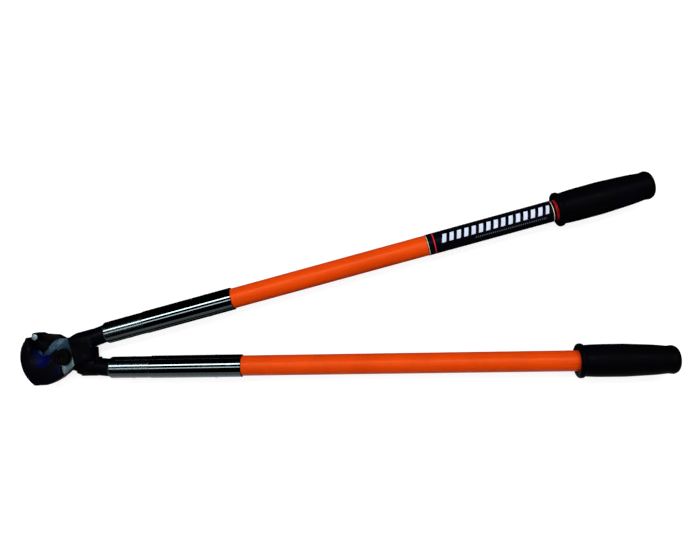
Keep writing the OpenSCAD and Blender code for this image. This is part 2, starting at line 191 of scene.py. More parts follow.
# Worn edges: a broken mask on the convex rims
def makeEdgeWear():
    group, start, end = newGroup("edgeWear", {"Point": None, "Start": 0.53, "Break": 2.0}, ("Mask",))
    rim = addNode(group, "ShaderNodeNewGeometry").outputs["Pointiness"]
    chips = noise(group, start.outputs["Point"], scaleFor(group, start.outputs["Break"]), wearLook["detail"],
                  wearLook["rough"])
    over = mathNode(group, "SUBTRACT", rim, start.outputs["Start"])
    edge = mathNode(group, "MULTIPLY", over, wearLook["steepness"], clamp=True)
    patchy = remap(group, chips, *wearLook["chips"])
    group.links.new(mathNode(group, "MULTIPLY", edge, patchy), end.inputs["Mask"])
    return group


marksLook = {
    "detail": 3.0,
    "rough": 0.7,
    "wider": 0.13,              # scale of the broad streaks over that of the fine lines
    "streak": (0.36, 0.66),
}


# Marks of a lathe or a grinding belt: fine lines across one direction of the piece
def makeToolMarks():
    group, start, end = newGroup("toolMarks", {"Point": None, "Stretch": (1.0, 1.0, 1.0), "Fineness": 900.0},
                                 ("Height", "Streak"))
    scaled = vectorNode(group, "MULTIPLY", start.outputs["Point"], start.outputs["Stretch"])
    lines = noise(group, scaled, start.outputs["Fineness"], marksLook["detail"], marksLook["rough"])
    broad = mathNode(group, "MULTIPLY", start.outputs["Fineness"], marksLook["wider"])
    bands = noise(group, scaled, broad, marksLook["detail"])
    group.links.new(lines, end.inputs["Height"])
    group.links.new(remap(group, bands, *marksLook["streak"]), end.inputs["Streak"])
    return group


handlingLook = {
    "detail": 5.0,
    "rough": 0.62,
    "warp": 0.6,
    "smudge": (0.4, 0.72),
    "cells": 2.6,               # scratch cells to one patch
    "scratchWidth": 0.012,
    "rare": (0.55, 0.63),       # only the fullest patches have scratches
}


# Dust and finger marks: soft patches that dull a clean surface, and a few hairline scratches in them
def makeHandling():
    group, start, end = newGroup("handling", {"Point": None, "Patch": 25.0}, ("Smudge", "Scratch"))
    point = start.outputs["Point"]
    scale = scaleFor(group, start.outputs["Patch"])
    patch = noise(group, point, scale, handlingLook["detail"], handlingLook["rough"], handlingLook["warp"])
    group.links.new(remap(group, patch, *handlingLook["smudge"]), end.inputs["Smudge"])
    cells = addNode(group, "ShaderNodeTexVoronoi", {"feature": "DISTANCE_TO_EDGE"}, Vector=point,
                    Scale=mathNode(group, "MULTIPLY", scale, handlingLook["cells"]))
    thin = remap(group, cells.outputs["Distance"], 0.0, handlingLook["scratchWidth"], 1.0, 0.0)
    rare = remap(group, patch, *handlingLook["rare"])
    group.links.new(mathNode(group, "MULTIPLY", thin, rare), end.inputs["Scratch"])
    return group


grainGroup = makeGrain()
wearGroup = makeEdgeWear()
marksGroup = makeToolMarks()
handlingGroup = makeHandling()
print("shader groups ready")


def emptyMaterial(name):
    material = bpy.data.materials.new(name)
    material.use_nodes = True
    tree = material.node_tree
    tree.nodes.clear()
    return material, tree, addNode(tree, "ShaderNodeOutputMaterial")


def newMaterial(name):
    material, tree, output = emptyMaterial(name)
    shader = addNode(tree, "ShaderNodeBsdfPrincipled")
    tree.links.new(shader.outputs["BSDF"], output.inputs["Surface"])
    return material, tree, shader, objectPoint(tree)


# Every finish ends the same way; values holds its specular level and its bump's strength and depth in mm
def finishShader(tree, shader, values, tone, rough, height):
    strength, depth = values["bump"]
    bump = addNode(tree, "ShaderNodeBump", Strength=strength, Distance=depth * mm, Height=height)
    tree.links.new(tone, shader.inputs["Base Color"])
    feed(tree, shader.inputs["Roughness"], rough)
    shader.inputs["Specular IOR Level"].default_value = values["specular"]
    tree.links.new(bump.outputs["Normal"], shader.inputs["Normal"])


jawSteel = {
    "black": (0.0010, 0.0010, 0.0014, 1),
    "blue": (0.0010, 0.0013, 0.0032, 1),
    "wornRim": (0.052, 0.06, 0.079, 1),
    "streak": (0.001, 0.0035, 0.037, 1),
    "streakAt": (-11.2, -12.0, 11.0),   # middle of the blue streaks on the flat beside the bare facet, mm
    "streakHalf": (4.4, 9.6, 3.0),
    "streakFade": (0.55, 1.0),          # where it starts to fade and is gone, as a share of streakHalf
    "wear": 0.16,                       # how far the worn rims show, in colour and in metallic
    "wornShine": 0.3,
    "roughness": (0.34, 0.5),           # clean and smudged
    "specular": 0.006,
    "bump": (0.25, 0.12),
}


def makeJawSteel():
    material, tree, shader, point = newMaterial("blackenedJawSteel")
    grain = useGroup(tree, grainGroup, Point=point, Size=0.7, Blotch=16.0)
    wear = useGroup(tree, wearGroup, Point=point, Start=0.545, Break=1.6).outputs["Mask"]
    hand = useGroup(tree, handlingGroup, Point=point, Patch=18.0)
    lines = useGroup(tree, marksGroup, Point=point, Stretch=(1.0, 0.12, 1.0), Fineness=420.0)
    offset = vectorNode(tree, "SUBTRACT", point, [v * mm for v in jawSteel["streakAt"]])
    shape = vectorNode(tree, "DIVIDE", offset, [v * mm for v in jawSteel["streakHalf"]])
    inside = remap(tree, vectorNode(tree, "LENGTH", shape), *jawSteel["streakFade"], 1.0, 0.0)
    streakPatch = mathNode(tree, "MULTIPLY", inside, lines.outputs["Streak"])
    tone = mixColour(tree, grain.outputs["Cloud"], jawSteel["black"], jawSteel["blue"])
    tone = mixColour(tree, streakPatch, tone, jawSteel["streak"])
    tone = mixColour(tree, mathNode(tree, "MULTIPLY", wear, jawSteel["wear"]), tone, jawSteel["wornRim"])
    tree.links.new(mathNode(tree, "MULTIPLY", wear, jawSteel["wornShine"]), shader.inputs["Metallic"])
    rough = spread(tree, hand.outputs["Smudge"], jawSteel["roughness"])
    finishShader(tree, shader, jawSteel, tone, rough, grain.outputs["Height"])
    return material


groundSteel = {
    "metallic": 0.9,
    "stainAndShade": (0.004, 0.010, 0.018, 1),
    "smudge": 0.6,              # how much of the stain colour the smudges, the painted washer shade and the painted seam shade take
    "washerShade": 0.65,
    "seamShade": 0.85,
    "seam": (0.35, 1.3),        # painted shade line in the crease where two ground faces meet: full and gone, mm off the other face
    "lines": (0.3, 0.7),        # low and high of the grinding lines
    "roughness": (0.30, 0.48),
    "specular": 0.15,
    "bump": (0.22, 0.06),
}
bevelGrind = {
    "low": ((0.012, 0.046, 0.110, 1), (0.034, 0.095, 0.185, 1)),
    "high": ((0.075, 0.23, 0.42, 1), (0.33, 0.46, 0.55, 1)),
    "paintedLightLevels": (9, 19),          # painted light and shade: low tones up to here and high tones from here, Y in mm
    "direction": -38,           # of the grinding lines, degrees
}
facetGrind = {
    "low": ((0.058, 0.086, 0.084, 1), (0.074, 0.108, 0.104, 1)),
    "high": ((0.001, 0.004, 0.008, 1), (0.004, 0.013, 0.020, 1)),
    # painted light and shade, as on the bevel: lighter low tones, dark high tones
    "paintedLightLevels": (-9, 7),
    "direction": 68,
    "washerShadeEnd": (5.5, 11),       # painted shade of the washer: full up to here and gone from here, X in mm
}


# Bare ground steel; seamPlane is a point and the normal of the face that it meets
def makeGroundSteel(name, grind, seamPlane=None):
    material, tree, shader, point = newMaterial(name)
    turned = addNode(tree, "ShaderNodeVectorRotate", {"rotation_type": "Z_AXIS"}, Vector=point,
                     Angle=radians(grind["direction"])).outputs[0]
    marks = useGroup(tree, marksGroup, Point=turned, Stretch=(0.04, 1.0, 1.0), Fineness=1500.0)
    hand = useGroup(tree, handlingGroup, Point=point, Patch=9.0)
    grain = useGroup(tree, grainGroup, Point=point, Size=0.6, Blotch=5.0)
    parts = addNode(tree, "ShaderNodeSeparateXYZ", Vector=point).outputs
    # Painted light and shade: the tone goes from the low to the high colours across Y
    paintedLightShift = remap(tree, parts["Y"], *[level * mm for level in grind["paintedLightLevels"]])
    low = mixColour(tree, marks.outputs["Streak"], *grind["low"])
    high = mixColour(tree, grain.outputs["Cloud"], *grind["high"])
    tone = mixColour(tree, paintedLightShift, low, high)
    stainsAndShades = [mathNode(tree, "MULTIPLY", hand.outputs["Smudge"], groundSteel["smudge"])]
    # Painted shade of the washer on the facet near the bolt
    if "washerShadeEnd" in grind:
        full, gone = grind["washerShadeEnd"]
        stainsAndShades.append(remap(tree, parts["X"], full * mm, gone * mm, groundSteel["washerShade"], 0.0))
    # Painted shade along the crease where this face meets the other
    if seamPlane is not None:
        spot, normal = seamPlane
        off = vectorNode(tree, "DOT_PRODUCT", vectorNode(tree, "SUBTRACT", point, spot * mm), normal)
        full, gone = groundSteel["seam"]
        stainsAndShades.append(remap(tree, mathNode(tree, "ABSOLUTE", off), full * mm, gone * mm,
                            groundSteel["seamShade"], 0.0))
    # Real smudges and the painted shades darken towards one colour
    for stainAndShade in stainsAndShades:
        tone = mixColour(tree, stainAndShade, tone, groundSteel["stainAndShade"])
    shader.inputs["Metallic"].default_value = groundSteel["metallic"]
    rough = remap(tree, marks.outputs["Height"], *groundSteel["lines"], *groundSteel["roughness"],
                  smooth=False)
    finishShader(tree, shader, groundSteel, tone, rough, marks.outputs["Height"])
    return material


# The hollow's navy is painted sheen: strongest in its middle, fading to black at its rim
hollowBlue = {
    "black": (0.0007, 0.0007, 0.0014, 1),
    "navySheen": (0.0003, 0.0018, 0.063, 1),
    "deepNavySheen": (0.0003, 0.0009, 0.026, 1),
    "scuffHighlight": (0.149, 0.245, 0.403, 1),
    "dishReach": (2.0, 5.2),    # scuffed bare steel and painted highlight full and gone, mm from the bottom of the notch
    "wallReach": (2.0, 8.5),
    "scuffHighlightBreak": (0.35, 1.0),
    "sheenCore": 0.6,            # share of the hollow's radius that is fully blue with painted sheen
    "roughness": 0.4,
    "specular": 0.008,
    "bump": (0.16, 0.05),
}


def awayFrom(tree, point, spot):
    return mathNode(tree, "DIVIDE", vectorNode(tree, "DISTANCE", point, spot * mm), mm)


def makeHollowBlue(name, centre, radius, apex, reach):
    material, tree, shader, point = newMaterial(name)
    grain = useGroup(tree, grainGroup, Point=point, Size=0.5, Blotch=6.0)
    marks = useGroup(tree, marksGroup, Point=point, Stretch=(1.0, 0.05, 1.0), Fineness=1100.0)
    # Painted sheen: navy in the middle of the hollow, fading to black towards its rim
    sheenMask = remap(tree, awayFrom(tree, point, centre), hollowBlue["sheenCore"] * radius, radius, 1.0, 0.0)
    blue = mixColour(tree, grain.outputs["Cloud"], hollowBlue["deepNavySheen"], hollowBlue["navySheen"])
    tone = mixColour(tree, sheenMask, hollowBlue["black"], blue)
    # Lighter near the bottom of the notch: scuffed bare steel with a painted highlight
    scuffHighlightMask = remap(tree, awayFrom(tree, point, apex), *reach, 1.0, 0.0)
    broken = spread(tree, marks.outputs["Streak"], hollowBlue["scuffHighlightBreak"])
    tone = mixColour(tree, mathNode(tree, "MULTIPLY", scuffHighlightMask, broken), tone, hollowBlue["scuffHighlight"])
    finishShader(tree, shader, hollowBlue, tone, hollowBlue["roughness"], marks.outputs["Height"])
    return material


leverPaint = {
    "black": (0.0010, 0.0010, 0.0012, 1),
    # dust tinted navy, which is also painted sheen
    "dusty": (0.0010, 0.0012, 0.0035, 1),
    "bareRim": (0.052, 0.056, 0.067, 1),
    "wear": 0.14,
    "wornShine": 0.3,
    "roughness": (0.34, 0.46),
    "specular": 0.005,
    "bump": (0.3, 0.18),
}


def makeLeverPaint():
    material, tree, shader, point = newMaterial("leverPaint")
    grain = useGroup(tree, grainGroup, Point=point, Size=1.3, Blotch=22.0)
    wear = useGroup(tree, wearGroup, Point=point, Start=0.555, Break=2.2).outputs["Mask"]
    hand = useGroup(tree, handlingGroup, Point=point, Patch=30.0)
    # Clouds of dust tinted navy as painted sheen
    tone = mixColour(tree, grain.outputs["Cloud"], leverPaint["black"], leverPaint["dusty"])
    tone = mixColour(tree, mathNode(tree, "MULTIPLY", wear, leverPaint["wear"]), tone, leverPaint["bareRim"])
    tree.links.new(mathNode(tree, "MULTIPLY", wear, leverPaint["wornShine"]), shader.inputs["Metallic"])
    rough = spread(tree, hand.outputs["Smudge"], leverPaint["roughness"])
    finishShader(tree, shader, leverPaint, tone, rough, grain.outputs["Height"])
    return material


socketSteel = {
    "steel": (0.047, 0.060, 0.065, 1),
    "shade": (0.040, 0.052, 0.057, 1),
    "socketRoughness": 0.15,
    "ferruleRoughness": 0.045,
    "smudge": 0.035,            # roughness that smudges and scratches add
    "scratch": 0.2,
    "specular": 0.5,
    "bump": (0.012, 0.004),
}


def makeSocketSteel(name, roughness):
    material, tree, shader, point = newMaterial(name)
    marks = useGroup(tree, marksGroup, Point=point, Stretch=(1.0, 0.03, 0.03), Fineness=2600.0)
    hand = useGroup(tree, handlingGroup, Point=point, Patch=34.0)
    tone = mixColour(tree, marks.outputs["Streak"], socketSteel["shade"], socketSteel["steel"])
    shader.inputs["Metallic"].default_value = 1.0
    rough = spread(tree, hand.outputs["Smudge"], (roughness, roughness + socketSteel["smudge"]))
    scratch = mathNode(tree, "MULTIPLY", hand.outputs["Scratch"], socketSteel["scratch"])
    rough = mathNode(tree, "ADD", rough, scratch)
    finishShader(tree, shader, socketSteel, tone, rough, marks.outputs["Height"])
    return material


orangeCoat = {
    "orange": (0.770, 0.058, 0.0012, 1),
    "deep": (0.705, 0.051, 0.0011, 1),
    "gloss": (1.0, 0.62, 0.25, 1),
    "dust": (0.63, 0.123, 0.035, 1),
    "dusty": 0.35,              # how much dust sits in a scratch
    "shadedRed": (0.525, 0.011, 0.018, 1),    # painted shade: darker red for the tube between the wrap and the grip, standing in for the shadow there
    "roughness": (0.33, 0.42),
    "specular": 0.085,
    "bump": (0.12, 0.05),
}


def makeTubeCoat(name, light, dark):
    material, tree, shader, point = newMaterial(name)
    grain = useGroup(tree, grainGroup, Point=point, Size=1.1, Blotch=45.0)
    hand = useGroup(tree, handlingGroup, Point=point, Patch=55.0)
    tone = mixColour(tree, grain.outputs["Cloud"], light, dark)
    dusty = mathNode(tree, "MULTIPLY", hand.outputs["Scratch"], orangeCoat["dusty"])
    tone = mixColour(tree, dusty, tone, orangeCoat["dust"])
    shader.inputs["Specular Tint"].default_value = orangeCoat["gloss"]
    rough = spread(tree, hand.outputs["Smudge"], orangeCoat["roughness"])
    finishShader(tree, shader, orangeCoat, tone, rough, grain.outputs["Height"])
    return material


wrapFilm = {
    "film": (0.0012, 0.0014, 0.0032, 1),
    "ring": (0.805, 0.77, 0.525, 1),
    "red": (0.595, 0.021, 0.035, 1),
    "bar": (0.63, 0.7, 0.875, 1),
    "tick": (0.079, 0.088, 0.105, 1),
    "lines": ((0.6, 1.15), (153.0, 153.6)),     # pale printed lines, from and to along the wrap, mm
    "redLine": (8.0, 9.2),
    "bars": (17.0, 148.0),      # plain slanted bars
    "barPitch": 9.0,
    "barShare": 0.55,           # how much of the pitch is printed
    "barAcross": (-2.4, 7.4),   # their reach across the handle
    "slant": 0.32,
    "ticks": (60.0, 146.0),     # fine scale under the bars
    "tickPitch": 2.6,
    "tickShare": 0.5,
    "tickAcross": (-7.4, -5.9),
    "roughness": (0.34, 0.42),
    "specular": 0.01,
    "bump": (0.12, 0.05),
}


# A printed row of marks, named bar or tick, on the wrap's upper side
def printedRow(tree, kind, slanted, across, upperSide):
    phase = mathNode(tree, "FRACT", mathNode(tree, "DIVIDE", slanted, wrapFilm[kind + "Pitch"]))
    row = mathNode(tree, "LESS_THAN", phase, wrapFilm[kind + "Share"])
    row = mathNode(tree, "MULTIPLY", row, between(tree, slanted, *wrapFilm[kind + "s"]))
    row = mathNode(tree, "MULTIPLY", row, between(tree, across, *wrapFilm[kind + "Across"]))
    return mathNode(tree, "MULTIPLY", row, upperSide)


def makeWrapFilm(startS):
    material, tree, shader, point = newMaterial("wrapFilm")
    parts = addNode(tree, "ShaderNodeSeparateXYZ", Vector=point).outputs
    along = mathNode(tree, "SUBTRACT", mathNode(tree, "DIVIDE", parts["X"], mm), startS)
    across = mathNode(tree, "SUBTRACT", mathNode(tree, "DIVIDE", parts["Y"], mm), tool["axisOffset"])
    upperSide = mathNode(tree, "GREATER_THAN", parts["Z"], 0.0)
    grain = useGroup(tree, grainGroup, Point=point, Size=2.4, Blotch=30.0)
    hand = useGroup(tree, handlingGroup, Point=point, Patch=26.0)
    first, last = wrapFilm["lines"]
    line = mathNode(tree, "ADD", between(tree, along, *first), between(tree, along, *last))
    slanted = mathNode(tree, "ADD", along, mathNode(tree, "MULTIPLY", across, -wrapFilm["slant"]))
    tone = mixColour(tree, line, wrapFilm["film"], wrapFilm["ring"])
    tone = mixColour(tree, between(tree, along, *wrapFilm["redLine"]), tone, wrapFilm["red"])
    for kind in ("bar", "tick"):
        tone = mixColour(tree, printedRow(tree, kind, slanted, across, upperSide), tone, wrapFilm[kind])
    rough = spread(tree, hand.outputs["Smudge"], wrapFilm["roughness"])
    finishShader(tree, shader, wrapFilm, tone, rough, grain.outputs["Height"])
    return material


gripRubber = {
    "rubber": (0.0010, 0.0010, 0.0012, 1),
    # rubber bloom tinted navy, which is also painted sheen
    "bloomSheen": (0.0010, 0.0012, 0.0038, 1),
    "bloomSheenShare": 0.8,
    "roughness": (0.37, 0.52),
    "specular": 0.005,
    "bump": (0.3, 0.08),
}


def makeGripRubber():
    material, tree, shader, point = newMaterial("gripRubber")
    grain = useGroup(tree, grainGroup, Point=point, Size=0.55, Blotch=20.0)
    hand = useGroup(tree, handlingGroup, Point=point, Patch=38.0)
    # Patches of bloom, tinted navy as painted sheen
    bloomSheenShare = mathNode(tree, "MULTIPLY", hand.outputs["Smudge"], gripRubber["bloomSheenShare"])
    tone = mixColour(tree, bloomSheenShare, gripRubber["rubber"], gripRubber["bloomSheen"])
    rough = spread(tree, grain.outputs["Cloud"], gripRubber["roughness"])
    finishShader(tree, shader, gripRubber, tone, rough, grain.outputs["Height"])
    return material


# Small turned and bought parts share one recipe: light and dark tone, metallic, roughness, specular
# level and the stretch of the tool marks
partMetals = {
    "brightPin": ((0.080, 0.112, 0.124, 1), (0.052, 0.076, 0.086, 1), 0.9, 0.5, 0.5, (1, 1, 0.1)),
    "blackBolt": ((0.0012, 0.0012, 0.0016, 1), (0.0010, 0.0010, 0.0012, 1), 0.0, 0.4, 0.006, (1, 1, 0.1)),
    "zincWasher": ((0.42, 0.43, 0.45, 1), (0.30, 0.31, 0.33, 1), 0.95, 0.38, 0.5, (1, 1, 0.1)),
    "bronzeBush": ((0.55, 0.36, 0.15, 1), (0.42, 0.26, 0.10, 1), 0.95, 0.32, 0.5, (1, 1, 0.1)),
    "drawnTube": ((0.42, 0.43, 0.45, 1), (0.33, 0.34, 0.36, 1), 0.95, 0.35, 0.5, (0.05, 1, 1)),
    "mouldedPlug": ((0.012, 0.012, 0.013, 1), (0.008, 0.008, 0.009, 1), 0.0, 0.55, 0.5, (1, 1, 1)),
}
partFinish = {
    "rimLift": 0.08,            # a worn rim is this much and this many times lighter
    "rimGain": 1.6,
    "wear": 0.4,
    "lines": (0.3, 0.7),
    "smoother": 0.04,           # roughness in the lows and highs of the tool marks
    "rougher": 0.08,
    "bump": (0.15, 0.04),
}


def makePartMetal(name):
    light, dark, metallic, roughness, specular, stretch = partMetals[name]
    material, tree, shader, point = newMaterial(name)
    marks = useGroup(tree, marksGroup, Point=point, Stretch=stretch, Fineness=1400.0)
    wear = useGroup(tree, wearGroup, Point=point, Start=0.55, Break=1.0)
    tone = mixColour(tree, marks.outputs["Streak"], dark, light)
    rim = tuple(min(1.0, partFinish["rimLift"] + partFinish["rimGain"] * c) for c in light[:3]) + (1,)
    worn = mathNode(tree, "MULTIPLY", wear.outputs["Mask"], partFinish["wear"] * metallic)
    tone = mixColour(tree, worn, tone, rim)
    shader.inputs["Metallic"].default_value = metallic
    rough = remap(tree, marks.outputs["Height"], *partFinish["lines"], roughness - partFinish["smoother"],
                  roughness + partFinish["rougher"], smooth=False)
    finishShader(tree, shader, dict(partFinish, specular=specular), tone, rough, marks.outputs["Height"])
    return material


jawSteelMat = makeJawSteel()
leverMat = makeLeverPaint()
socketMat = makeSocketSteel("socketSteel", socketSteel["socketRoughness"])
ferruleMat = makeSocketSteel("ferruleSteel", socketSteel["ferruleRoughness"])
orangeMat = makeTubeCoat("orangeCoat", orangeCoat["orange"], orangeCoat["deep"])
# The darker red is painted shade for the tube's stretch in the grip's mouth
shadedRedMat = makeTubeCoat("shadedRedBand", orangeCoat["shadedRed"], orangeCoat["shadedRed"])
rubberMat = makeGripRubber()
metal = {name: makePartMetal(name) for name in partMetals}
print("materials ready")

meshing = {
    "segments": 128,            # round a handle
    "pinSegments": 40,
    "tiny": 0.001,              # radii and roundings below this are left alone, mm
    "cornerRoom": 0.45,         # most of an outline's side that one rounding takes
    "join": 0.004,              # points nearer than this are one, mm
    "flat": 0.6,                # faces within this many degrees are one face
    "bevelFrom": 25,            # edges sharper than this are broken, degrees
    "turnedSharp": 32,          # edges sharper than this stay crisp, degrees
    "cutSharp": 38,
}


def smoothFaces(mesh, sharpFrom):
    mesh.shade_smooth()
    mesh.set_sharp_from_angle(angle=radians(sharpFrom))


def builtPiece(name, build, material):
    mesh = bpy.data.meshes.new(name)
    build.to_mesh(mesh)
    build.free()
    mesh.materials.append(material)
    piece = bpy.data.objects.new(name, mesh)
    bpy.context.scene.collection.objects.link(piece)
    return piece


# An outline of (along, radius) points with some of its corners rounded; corners holds their sizes
def rounded(points, corners, steps=4):
    out = []
    for i, (a, r) in enumerate(points):
        here = Vector((a, r))
        towards = Vector(points[i - 1]) - here
        away = Vector(points[(i + 1) % len(points)]) - here
        size = min(corners.get(i, 0), min(towards.length, away.length) * meshing["cornerRoom"])
        if size <= meshing["tiny"] or r <= meshing["tiny"]:
            out.append((a, r))
            continue
        begin = here + towards.normalized() * size
        stop = here + away.normalized() * size
        for k in range(steps + 1):
            t = k / steps
            p = begin * (1 - t) ** 2 + here * 2 * t * (1 - t) + stop * t ** 2
            out.append((p.x, p.y))
    return out


# A closed outline of (along, radius) points, in mm, turned about the handle's axis
def turnedPiece(name, outline, material, segments=meshing["segments"], centre=tool["axisOffset"]):
    build = bmesh.new()
    rings = []
    for along, radius in outline:
        if radius <= meshing["tiny"]:
            rings.append([build.verts.new((along * mm, centre * mm, 0))])
            continue
        turns = [2 * pi * k / segments for k in range(segments)]
        rings.append([build.verts.new((along * mm, (centre + radius * cos(a)) * mm, radius * sin(a) * mm))
                      for a in turns])
    for first, second in zip(rings, rings[1:] + rings[:1]):
        if len(first) == 1 and len(second) == 1:
            continue
        for k in range(segments):
            after = (k + 1) % segments
            if len(first) == 1:
                build.faces.new((first[0], second[after], second[k]))
            elif len(second) == 1:
                build.faces.new((first[k], first[after], second[0]))
            else:
                build.faces.new((first[k], first[after], second[after], second[k]))
    bmesh.ops.recalc_face_normals(build, faces=build.faces)
    piece = builtPiece(name, build, material)
    smoothFaces(piece.data, meshing["turnedSharp"])
    return piece


# A copy of a construction piece with its flat faces joined up and its edges broken
def bevelledCopy(name, node, side, material, width, steps=2):
    build = bmesh.new()
    build.from_mesh(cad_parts[node].data)
    bmesh.ops.transform(build, matrix=halfMatrix(side).inverted(), verts=build.verts)
    bmesh.ops.remove_doubles(build, verts=build.verts, dist=meshing["join"] * mm)
    bmesh.ops.dissolve_limit(build, angle_limit=radians(meshing["flat"]), verts=build.verts,
                             edges=build.edges)
    piece = builtPiece(name, build, material)
    bevel = piece.modifiers.new("softEdges", "BEVEL")
    bevel.width = width * mm
    bevel.segments = steps
    bevel.limit_method = "ANGLE"
    bevel.angle_limit = radians(meshing["bevelFrom"])
    bpy.context.view_layer.update()
    evaluated = piece.evaluated_get(bpy.context.evaluated_depsgraph_get())
    softened = bpy.data.meshes.new_from_object(evaluated)
    piece.modifiers.clear()
    piece.data = softened
    smoothFaces(softened, meshing["cutSharp"])
    return piece


cameraValues = {
    "place": (0.4037, 0.0337, 0.7770),
    "turn": (0.30, 3.13, -8.22),
    "lens": 31.9,
    "sensor": 36,
}
cameraData = bpy.data.cameras.new("camera")
cameraData.lens = cameraValues["lens"]
cameraData.sensor_width = cameraValues["sensor"]
camera = bpy.data.objects.new("camera", cameraData)
camera.location = cameraValues["place"]
camera.rotation_euler = [radians(a) for a in cameraValues["turn"]]
bpy.context.scene.collection.objects.link(camera)
bpy.context.scene.camera = camera
bpy.context.scene.view_settings.view_transform = "Standard"

studio = {
    "middle": 0.37,             # of the floor and its glow, along X
    "floorHalf": 3.0,
    "floorTone": (0.385, 0.385, 0.385, 1),
    "floorGlow": (0.82, 1.0),   # near the tool and far away
    "glowReach": (0.7, 2.0),
    "worldFill": 0.07,          # soft light from all round
    "roomHalf": (5.0, 4.2),     # dark upper room, seen only in reflections
    "roomHeight": 2.4,
    "clothLift": 0.4,           # dark cloth on the far side of each handle, mm over the floor
}


# Full strength for what is looked at or mirrored, nothing for the light that falls on the tool
def shownFactor(tree):
    path = addNode(tree, "ShaderNodeLightPath")
    seen = mathNode(tree, "MAXIMUM", path.outputs["Is Camera Ray"], path.outputs["Is Glossy Ray"])
    return mathNode(tree, "MAXIMUM", seen, path.outputs["Is Transmission Ray"])


def makeCard(name, corners, material):
    build = bmesh.new()
    build.faces.new([build.verts.new(corner) for corner in corners])
    card = builtPiece(name, build, material)
    return card


def makeFloor():
    material, tree, output = emptyMaterial("paleFloor")
    matte = addNode(tree, "ShaderNodeBsdfDiffuse", Color=studio["floorTone"])
    away = vectorNode(tree, "DISTANCE", objectPoint(tree), (studio["middle"], 0, 0))
    strength = remap(tree, away, *studio["glowReach"], *studio["floorGlow"])
    glow = addNode(tree, "ShaderNodeEmission", Color=(1, 1, 1, 1),
                   Strength=mathNode(tree, "MULTIPLY", shownFactor(tree), strength))
    both = addNode(tree, "ShaderNodeAddShader")
    tree.links.new(matte.outputs[0], both.inputs[0])
    tree.links.new(glow.outputs[0], both.inputs[1])
    tree.links.new(both.outputs[0], output.inputs["Surface"])
    half = studio["floorHalf"]
    corners = [(studio["middle"] + x * half, y * half, 0) for x, y in ((-1, -1), (1, -1), (1, 1), (-1, 1))]
    makeCard("floor", corners, material)


def makeDarkCard(name, corners):
    material, tree, output = emptyMaterial(name)
    dark = addNode(tree, "ShaderNodeBsdfDiffuse", Color=(0.0, 0.0, 0.0, 1))
    tree.links.new(dark.outputs[0], output.inputs["Surface"])
    card = makeCard(name, corners, material)
    for ray in ("camera", "diffuse", "transmission", "volume_scatter", "shadow"):
        setattr(card, "visible_" + ray, False)


# A dark ceiling, far wall and table cloth give the polished steel its black bands
def makeDarkRoom():
    x, y = studio["roomHalf"]
    top = studio["roomHeight"]
    low = studio["clothLift"] * mm
    slope = -sin(radians(tool["halfAngle"]))
    makeDarkCard("darkCeiling", ((-x, -y, top), (-x, y, top), (x, y, top), (x, -y, top)))
    makeDarkCard("darkWall", ((-x, y, 0), (x, y, 0), (x, y, top), (-x, y, top)))
    makeDarkCard("darkCloth", ((-x, 0, low), (0, -tool["axisOffset"] * mm, low), (x, slope * x, low),
                               (x, y, low), (-x, y, low)))


def makeWorld():
    world = bpy.data.worlds.new("studioWorld")
    bpy.context.scene.world = world
    world.use_nodes = True
    tree = world.node_tree
    tree.nodes.clear()
    output = addNode(tree, "ShaderNodeOutputWorld")
    shown = shownFactor(tree)
    fill = mathNode(tree, "MULTIPLY", mathNode(tree, "SUBTRACT", 1.0, shown), studio["worldFill"])
    back = addNode(tree, "ShaderNodeBackground", Color=(1, 1, 1, 1),
                   Strength=mathNode(tree, "ADD", shown, fill))
    tree.links.new(back.outputs[0], output.inputs["Surface"])


# Two long strips over the tool, each with a twin that only shows in reflections
lamps = {
    "keyStrip": {"place": (0.40, 0.60, 1.35), "size": (2.8, 0.22), "power": 24.5},
    "keyShine": {"place": (0.40, 0.60, 1.36), "size": (2.8, 0.22), "power": 48, "shineOnly": True},
    "thinStrip": {"place": (0.40, -0.16, 1.42), "size": (2.8, 0.15), "power": 8.3},
    "thinShine": {"place": (0.40, -0.16, 1.43), "size": (2.8, 0.15), "power": 9.0, "shineOnly": True},
}


def makeLamp(name, values):
    data = bpy.data.lights.new(name, "AREA")
    data.shape = "RECTANGLE"
    data.size, data.size_y = values["size"]
    data.energy = values["power"]
    lamp = bpy.data.objects.new(name, data)
    lamp.location = values["place"]
    across, height = values["place"][1:]
    lamp.rotation_euler = (-atan2(across, height), 0, 0)
    lamp.visible_diffuse = not values.get("shineOnly", False)
    bpy.context.scene.collection.objects.link(lamp)


makeFloor()
makeDarkRoom()
makeWorld()
for lampName, lampValues in lamps.items():
    makeLamp(lampName, lampValues)
print("camera, floor and lamps ready")


# The handles take their lengths and radii from the construction pieces
neckEnd, step, shankRadius, socketRadius = measured("upper_socket")
ferruleEnd, coreRadius, ferruleRadius = measured("upper_ferrule")[1:]
tubeStart, tubeEnd, tubeBore, tubeRadius = measured("upper_tube")
wrapStart, wrapEnd, wrapInner, wrapOuter = measured("label_wrap")
gripStart, gripEnd, _, flangeRadius = measured("upper_grip")
shankPinAt = sum(measured("upper_shank_pin")[:2]) / 2
ferrulePinAt = sum(measured("upper_ferrule_pin")[:2]) / 2
plugEnd = measured("upper_end_plug")[1]
boreRadius = tubeRadius + 0.05      # what goes round the coloured tube has this slack
spare = 1.0                         # past the end of a piece, mm


# Faces of a turned piece within a stretch of the handle get a second finish
def finishStretch(piece, low, high, material):
    mesh = piece.data
    mesh.materials.append(material)
    for polygon in mesh.polygons:
        if low < polygon.center.x / mm < high:
            polygon.material_index = 1


socketShape = {
    "noseLength": 3.6,
    "noseRadius": 11.0,
    "shineFrom": 0.4,       # the polish starts this far before the nose's end
    "corners": {4: 0.25, 5: 0.9, 6: 0.5},
    "cornerSteps": 6,
}


